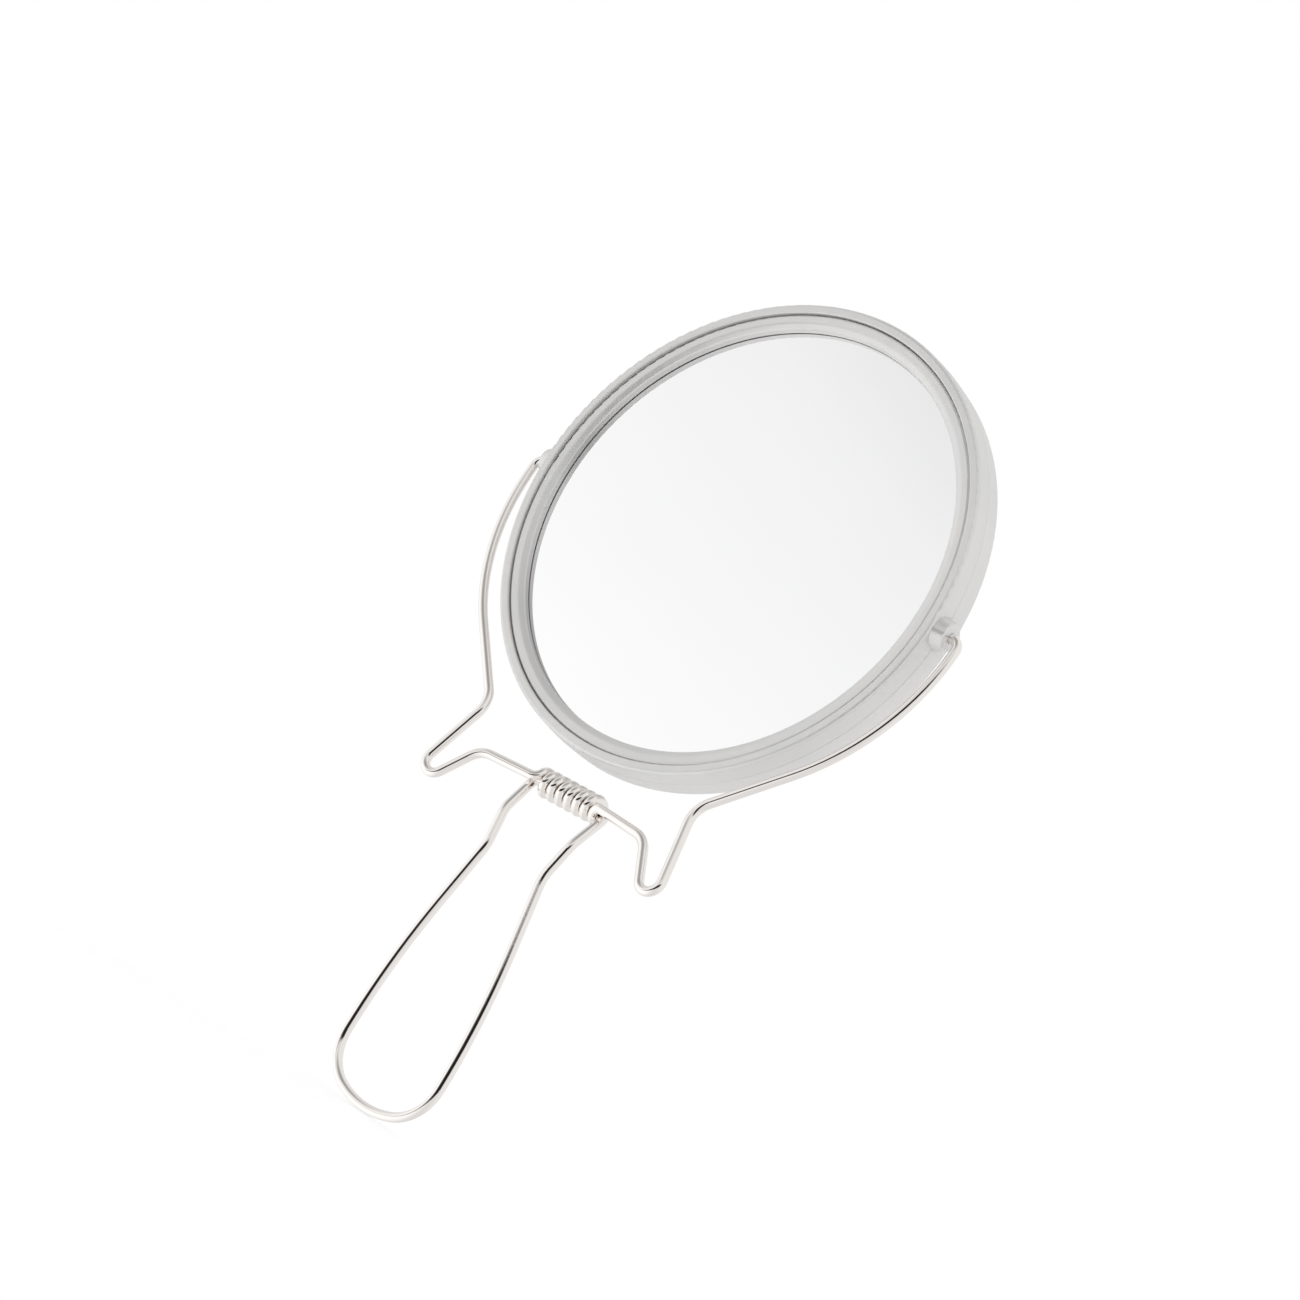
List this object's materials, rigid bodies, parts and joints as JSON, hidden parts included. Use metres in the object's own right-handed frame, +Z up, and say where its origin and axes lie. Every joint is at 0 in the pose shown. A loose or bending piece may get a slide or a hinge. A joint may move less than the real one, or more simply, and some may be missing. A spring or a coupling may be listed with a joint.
{
  "type": "hand mirror",
  "caption": "Round two-sided hand mirror: plastic rim tilting in a bent wire yoke with V feet, and a wire loop handle that folds in the yoke's coil.",
  "frame": {"origin": "under the middle of the whole object, level with the lowest point of the handle loop", "axes": "+Z runs up from the handle to the mirror, X lies along the mirror's tilt axis, and the plain mirror faces -Y"},
  "size_m": [0.1484, 0.0144, 0.2364],
  "materials": {
    "rim_plastic": "silver-grey lacquered moulded plastic, satin",
    "glass": "silvered glass",
    "wire": "bright nickel plated steel wire",
    "foam": "closed-cell foam"
  },
  "bodies": {
    "yoke": {"yoke_wire": "wire"},
    "mirror_head": {"front_shell": "rim_plastic", "rear_shell": "rim_plastic", "front_bezel": "rim_plastic", "rear_bezel": "rim_plastic", "plain_mirror": "glass", "magnifying_mirror": "glass", "spacer_ring": "foam", "right_pivot_bush": "rim_plastic", "left_pivot_bush": "rim_plastic"},
    "handle": {"handle_wire": "wire"}
  },
  "joints": [
    {"name": "mirror_tilt", "type": "hinge", "parent": "yoke", "child": "mirror_head", "pos_m": [0, 0.00073, 0.16815], "axis": [1, 0, 0], "continuous": true},
    {"name": "handle_fold", "type": "hinge", "parent": "yoke", "child": "handle", "pos_m": [0, 0.00003, 0.09195], "axis": [1, 0, 0], "range_deg": [-6, 110]}
  ]
}
